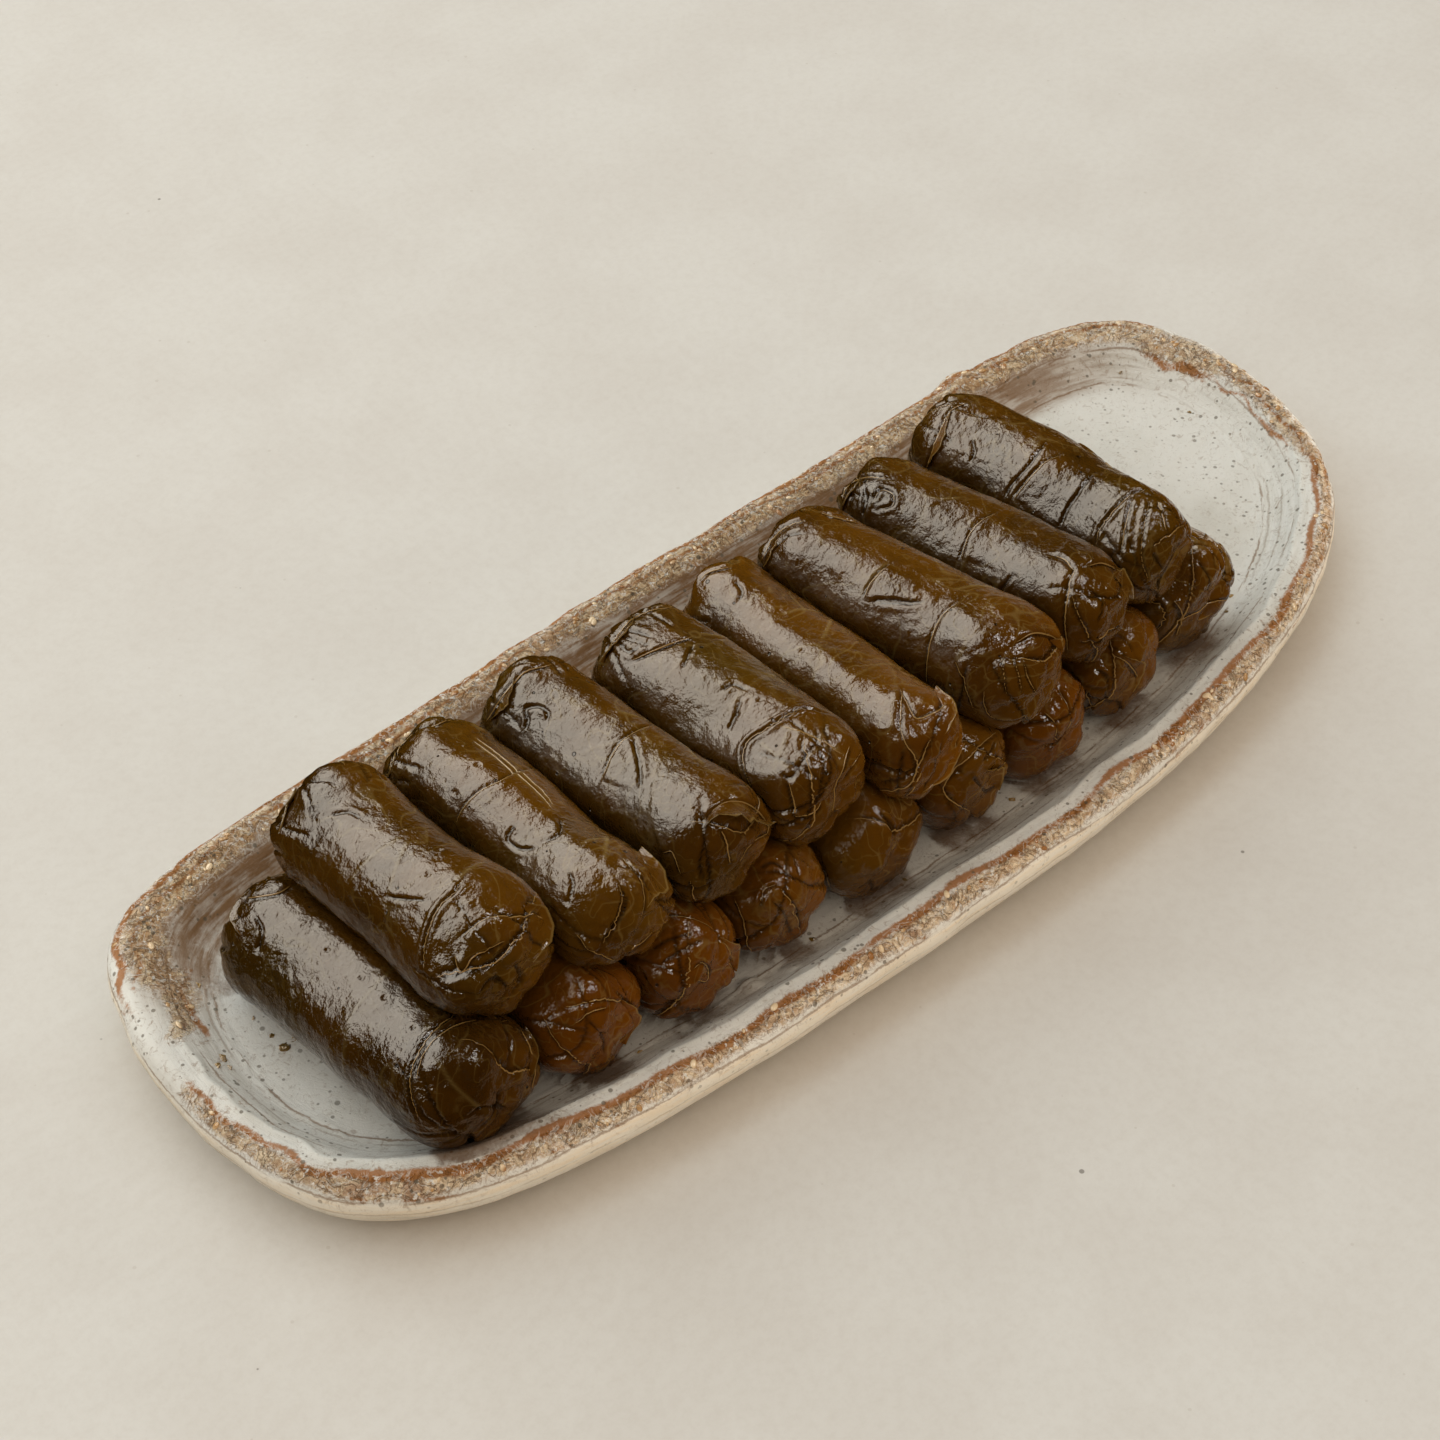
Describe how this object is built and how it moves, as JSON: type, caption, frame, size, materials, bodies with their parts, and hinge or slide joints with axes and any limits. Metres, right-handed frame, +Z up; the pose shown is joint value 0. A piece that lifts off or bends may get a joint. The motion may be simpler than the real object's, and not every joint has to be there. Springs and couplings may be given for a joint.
{
  "type": "dish of stuffed vine-leaf rolls",
  "caption": "Stuffed vine-leaf rolls stacked in two layers in a long, shallow, hand-formed stoneware serving dish.",
  "frame": {"origin": "centre of the object's box at the surface the dish stands on", "axes": "+X along the dish, +Z up, and the ends of the rolls that show point to -Y"},
  "size_m": [0.3076, 0.1178, 0.0564],
  "materials": {
    "glazed_stoneware": "satin pale grey-white glaze with dark specks, worn to rusty brown clay along the rim",
    "vine_leaf": "wet, glossy, dark olive-brown cooked leaf"
  },
  "bodies": {
    "root": {"dish": "glazed_stoneware", "dolma_floor_1": "vine_leaf", "dolma_floor_2": "vine_leaf", "dolma_floor_3": "vine_leaf", "dolma_floor_4": "vine_leaf", "dolma_floor_5": "vine_leaf", "dolma_floor_6": "vine_leaf", "dolma_floor_7": "vine_leaf", "dolma_floor_8": "vine_leaf", "dolma_floor_9": "vine_leaf", "dolma_top_1": "vine_leaf", "dolma_top_2": "vine_leaf", "dolma_top_3": "vine_leaf", "dolma_top_4": "vine_leaf", "dolma_top_5": "vine_leaf", "dolma_top_6": "vine_leaf", "dolma_top_7": "vine_leaf", "dolma_top_8": "vine_leaf"}
  },
  "joints": []
}
